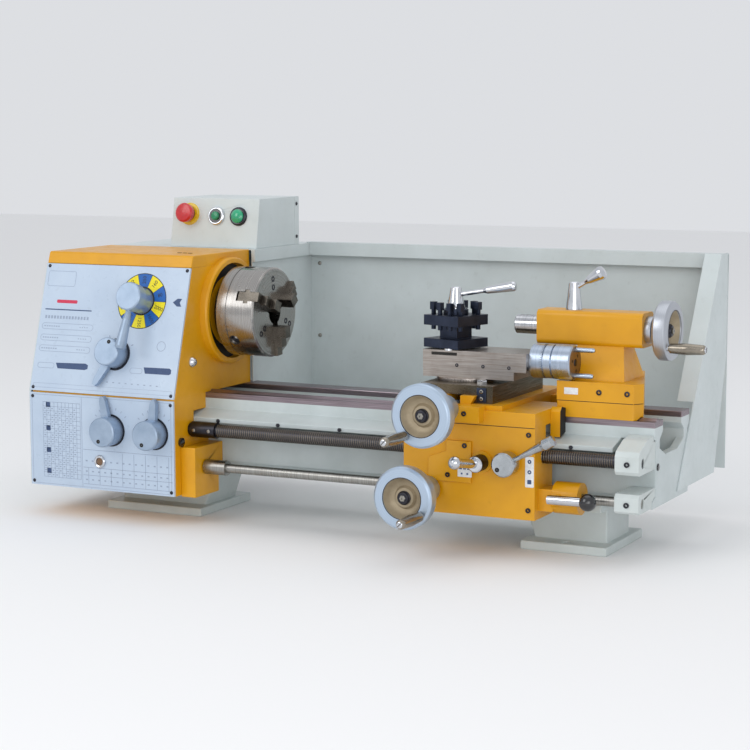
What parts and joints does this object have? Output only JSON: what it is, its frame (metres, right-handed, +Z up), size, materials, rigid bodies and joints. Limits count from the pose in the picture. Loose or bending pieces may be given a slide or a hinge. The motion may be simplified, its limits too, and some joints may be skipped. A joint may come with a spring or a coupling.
{
  "type": "metal lathe",
  "caption": "Bench metal lathe with geared headstock, three-jaw chuck, screw-driven carriage with compound slide and turret toolpost, tailstock and splash guard.",
  "frame": {"origin": "centre of the four bench bolts, on the bench top", "axes": "+X along the bed towards the tailstock, -Y towards the operator, +Z up"},
  "size_m": [1.2171, 0.688, 0.561],
  "materials": {
    "yellow_paint": "gloss enamel",
    "cream_paint": "semi-gloss enamel",
    "pale_panel": "satin printed panel",
    "machine_iron": "ground ways, painted sides",
    "slide_iron": "ground",
    "turned_steel": "turned and ground",
    "dark_steel": "blackened",
    "gear_steel": "milled, oiled",
    "cast_aluminium": "cast and turned",
    "chrome_lever": "polished",
    "motor_paint": "satin enamel",
    "belt_rubber": "matte",
    "red_plastic": "gloss",
    "green_plastic": "gloss",
    "black_plastic": "gloss"
  },
  "bodies": {
    "frame": {"bed": "machine_iron", "foot_left": "cream_paint", "foot_right": "cream_paint", "headstock_casting": "yellow_paint", "headstock_cover": "yellow_paint", "upper_panel": "pale_panel", "gearbox_casing": "yellow_paint", "lower_panel": "pale_panel", "spindle_bearings": "turned_steel", "motor": "motor_paint", "drive_belt": "belt_rubber", "rear_housing": "cream_paint", "electrical_box": "cream_paint", "electrical_box_cover": "cream_paint", "button_collars": "black_plastic", "splash_back": "cream_paint", "splash_right": "cream_paint", "feed_drive_box": "yellow_paint", "rod_end_brackets": "cream_paint", "gear_rack": "gear_steel"},
    "end_door": {"end_cover": "cream_paint"},
    "spindle_line": {"spindle": "turned_steel", "spindle_pulley": "gear_steel", "spindle_gear": "gear_steel", "chuck_body": "turned_steel"},
    "scroll_plate": {"chuck_scroll": "gear_steel"},
    "jaw_a": {"chuck_jaw_1": "dark_steel"},
    "jaw_b": {"chuck_jaw_2": "dark_steel"},
    "jaw_c": {"chuck_jaw_3": "dark_steel"},
    "motor_shaft": {"motor_pulley": "gear_steel"},
    "idler": {"idler_gear": "gear_steel"},
    "lead_screw": {"leadscrew": "dark_steel"},
    "feed_shaft": {"feed_rod": "turned_steel"},
    "speed_lever": {"speed_handle": "cast_aluminium"},
    "range_knob": {"range_lever": "cast_aluminium"},
    "left_knob": {"gear_knob_left": "cast_aluminium"},
    "right_knob": {"gear_knob_right": "cast_aluminium"},
    "stop_push": {"estop_button": "red_plastic"},
    "start_push": {"start_button": "green_plastic"},
    "carriage": {"saddle": "yellow_paint", "apron": "yellow_paint"},
    "apron_wheel": {"apron_handwheel": "cast_aluminium"},
    "pinion_shaft": {"rack_pinion": "gear_steel"},
    "cross_wheel": {"cross_handwheel": "cast_aluminium"},
    "cross": {"cross_slide": "slide_iron"},
    "compound": {"swivel_base": "slide_iron"},
    "top": {"top_slide": "slide_iron"},
    "top_screw": {"top_slide_screw": "turned_steel"},
    "post": {"toolpost": "dark_steel", "toolpost_screws": "dark_steel"},
    "post_lever": {"toolpost_lever": "chrome_lever"},
    "nut_lever": {"half_nut_lever": "chrome_lever"},
    "nut": {"half_nut": "gear_steel"},
    "selector": {"feed_selector": "chrome_lever"},
    "clutch_lever": {"direction_lever": "chrome_lever"},
    "tailstock": {"tailstock_base": "yellow_paint", "tailstock_body": "yellow_paint"},
    "tail_wheel": {"tailstock_handwheel": "cast_aluminium"},
    "tail_quill": {"quill": "turned_steel"},
    "quill_lock": {"quill_lock_lever": "chrome_lever"}
  },
  "joints": [
    {"name": "end_cover_hinge", "type": "hinge", "parent": "frame", "child": "end_door", "pos_m": [-0.5986, 0.086, 0.26], "axis": [0, 0, 1], "range_deg": [-100, 0]},
    {"name": "spindle_turn", "type": "hinge", "parent": "frame", "child": "spindle_line", "pos_m": [0, 0, 0.365], "axis": [1, 0, 0], "continuous": true},
    {"name": "chuck_scroll_turn", "type": "hinge", "parent": "spindle_line", "child": "scroll_plate", "pos_m": [0, 0, 0.365], "axis": [1, 0, 0], "range_deg": [-1008.5, 432.5]},
    {"name": "jaw_a_slide", "type": "slide", "parent": "spindle_line", "child": "jaw_a", "axis": [0, -0.9063, 0.4226], "range_m": [-0.01401, 0.00601]},
    {"name": "jaw_b_slide", "type": "slide", "parent": "spindle_line", "child": "jaw_b", "axis": [0, 0.0872, -0.9962], "range_m": [-0.01401, 0.00601]},
    {"name": "jaw_c_slide", "type": "slide", "parent": "spindle_line", "child": "jaw_c", "axis": [0, 0.8192, 0.5736], "range_m": [-0.01401, 0.00601]},
    {"name": "motor_turn", "type": "hinge", "parent": "frame", "child": "motor_shaft", "pos_m": [-0.552, 0.172, 0.33], "axis": [1, 0, 0], "continuous": true},
    {"name": "idler_turn", "type": "hinge", "parent": "frame", "child": "idler", "pos_m": [-0.577, -0.04975, 0.25855], "axis": [1, 0, 0], "continuous": true},
    {"name": "leadscrew_turn", "type": "hinge", "parent": "frame", "child": "lead_screw", "pos_m": [0, -0.13, 0.166], "axis": [1, 0, 0], "continuous": true},
    {"name": "feed_rod_turn", "type": "hinge", "parent": "frame", "child": "feed_shaft", "pos_m": [0, -0.13, 0.101], "axis": [1, 0, 0], "continuous": true},
    {"name": "speed_select", "type": "hinge", "parent": "frame", "child": "speed_lever", "pos_m": [-0.382, -0.13905, 0.38909], "axis": [0, -0.9625, 0.2714], "range_deg": [0, 120]},
    {"name": "range_select", "type": "hinge", "parent": "frame", "child": "range_knob", "pos_m": [-0.421, -0.16555, 0.29508], "axis": [0, -0.9625, 0.2714], "range_deg": [-40, 40]},
    {"name": "left_knob_turn", "type": "hinge", "parent": "frame", "child": "left_knob", "pos_m": [-0.421, -0.186, 0.162], "axis": [0, -1, 0], "range_deg": [-35, 35]},
    {"name": "right_knob_turn", "type": "hinge", "parent": "frame", "child": "right_knob", "pos_m": [-0.331, -0.186, 0.162], "axis": [0, -1, 0], "range_deg": [-35, 35]},
    {"name": "stop_press", "type": "slide", "parent": "frame", "child": "stop_push", "axis": [0, 0.9867, -0.1626], "range_m": [0, 0.005], "stiffness_N_per_m": 400},
    {"name": "start_press", "type": "slide", "parent": "frame", "child": "start_push", "axis": [0, 0.9867, -0.1626], "range_m": [0, 0.003], "stiffness_N_per_m": 300},
    {"name": "carriage_slide", "type": "slide", "parent": "frame", "child": "carriage", "axis": [1, 0, 0], "range_m": [-0.28, 0]},
    {"name": "apron_wheel_turn", "type": "hinge", "parent": "carriage", "child": "apron_wheel", "pos_m": [0.191, -0.274, 0.105], "axis": [0, -1, 0], "range_deg": [0, 4011]},
    {"name": "rack_pinion_turn", "type": "hinge", "parent": "carriage", "child": "pinion_shaft", "pos_m": [0.24044, -0.13, 0.139], "axis": [0, -1, 0], "range_deg": [-1338, 0]},
    {"name": "cross_wheel_turn", "type": "hinge", "parent": "carriage", "child": "cross_wheel", "pos_m": [0.231, -0.292, 0.243], "axis": [0, -1, 0], "range_deg": [-270, 3420]},
    {"name": "cross_slide_travel", "type": "slide", "parent": "carriage", "child": "cross", "axis": [0, 1, 0], "range_m": [-0.03801, 0.00301]},
    {"name": "compound_swivel", "type": "hinge", "parent": "cross", "child": "compound", "pos_m": [0.216, -0.075, 0.277], "axis": [0, 0, 1], "range_deg": [-45, 0]},
    {"name": "top_slide_travel", "type": "slide", "parent": "compound", "child": "top", "axis": [1, 0, 0], "range_m": [-0.02001, 0.01001]},
    {"name": "top_screw_turn", "type": "hinge", "parent": "top", "child": "top_screw", "pos_m": [0.338, -0.075, 0.314], "axis": [1, 0, 0], "range_deg": [-3600, 1800]},
    {"name": "toolpost_index", "type": "hinge", "parent": "top", "child": "post", "pos_m": [0.196, -0.075, 0.33], "axis": [0, 0, 1], "range_deg": [-90, 90]},
    {"name": "toolpost_clamp", "type": "hinge", "parent": "top", "child": "post_lever", "pos_m": [0.196, -0.075, 0.39], "axis": [0, 0, 1], "range_deg": [-60, 30]},
    {"name": "half_nut_lever_turn", "type": "hinge", "parent": "carriage", "child": "nut_lever", "pos_m": [0.333, -0.174, 0.158], "axis": [0, -1, 0], "range_deg": [-40, 0]},
    {"name": "half_nut_lift", "type": "slide", "parent": "carriage", "child": "nut", "axis": [0, 0, 1], "range_m": [0, 0.00801]},
    {"name": "feed_select", "type": "hinge", "parent": "carriage", "child": "selector", "pos_m": [0.286, -0.174, 0.156], "axis": [0, -1, 0], "range_deg": [-30, 30]},
    {"name": "direction_select", "type": "hinge", "parent": "carriage", "child": "clutch_lever", "pos_m": [0.412, -0.159, 0.103], "axis": [0, -1, 0], "range_deg": [-15, 15]},
    {"name": "tailstock_slide", "type": "slide", "parent": "frame", "child": "tailstock", "axis": [1, 0, 0], "range_m": [0, 0.014]},
    {"name": "tailstock_wheel_turn", "type": "hinge", "parent": "tailstock", "child": "tail_wheel", "pos_m": [0.552, 0, 0.365], "axis": [1, 0, 0], "range_deg": [-7200, 0]},
    {"name": "quill_slide", "type": "slide", "parent": "tailstock", "child": "tail_quill", "axis": [-1, 0, 0], "range_m": [0, 0.08001]},
    {"name": "quill_lock_turn", "type": "hinge", "parent": "tailstock", "child": "quill_lock", "pos_m": [0.377, 0, 0.394], "axis": [0, 0, 1], "range_deg": [-60, 60]}
  ],
  "couplings": [
    {"joint": "jaw_a_slide", "follows": "chuck_scroll_turn", "m_per_rad": 0.00079577},
    {"joint": "jaw_b_slide", "follows": "chuck_scroll_turn", "m_per_rad": 0.00079577},
    {"joint": "jaw_c_slide", "follows": "chuck_scroll_turn", "m_per_rad": 0.00079577},
    {"joint": "motor_turn", "follows": "spindle_turn", "ratio": 2},
    {"joint": "idler_turn", "follows": "spindle_turn", "ratio": -0.38235},
    {"joint": "leadscrew_turn", "follows": "spindle_turn", "ratio": 0.86667},
    {"joint": "apron_wheel_turn", "follows": "carriage_slide", "rad_per_m": -250},
    {"joint": "rack_pinion_turn", "follows": "carriage_slide", "rad_per_m": 83.333},
    {"joint": "cross_slide_travel", "follows": "cross_wheel_turn", "m_per_rad": -0.00063662},
    {"joint": "top_slide_travel", "follows": "top_screw_turn", "m_per_rad": 0.00031831},
    {"joint": "half_nut_lift", "follows": "half_nut_lever_turn", "m_per_rad": -0.011459},
    {"joint": "quill_slide", "follows": "tailstock_wheel_turn", "m_per_rad": -0.00063662}
  ]
}
